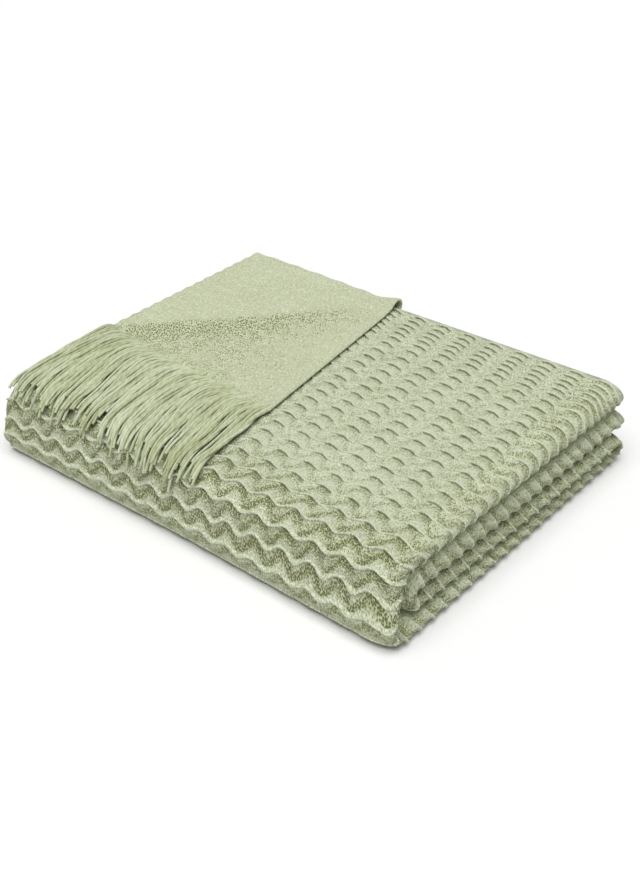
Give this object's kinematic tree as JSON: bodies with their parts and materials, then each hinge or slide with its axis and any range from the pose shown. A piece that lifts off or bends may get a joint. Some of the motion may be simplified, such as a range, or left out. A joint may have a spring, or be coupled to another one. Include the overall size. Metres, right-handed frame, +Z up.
{
  "type": "folded knitted throw",
  "caption": "Knitted throw with raised wavy ribs, folded into a flat rectangular pack, its fringed end laid over the top with the smooth reverse side up.",
  "frame": {"origin": "on the surface the pack lies on, under the middle of its bounding box", "axes": "+X along the pack's long side, from the folded left end to the rolled right end; +Y from the front bend to the open back; +Z up"},
  "size_m": [0.3508, 0.2842, 0.0619],
  "materials": {
    "knit": "matte sage green acrylic knit",
    "yarn": "matte sage green twisted yarn"
  },
  "bodies": {
    "root": {"throw_cloth": "knit", "fringe": "yarn"}
  },
  "joints": []
}
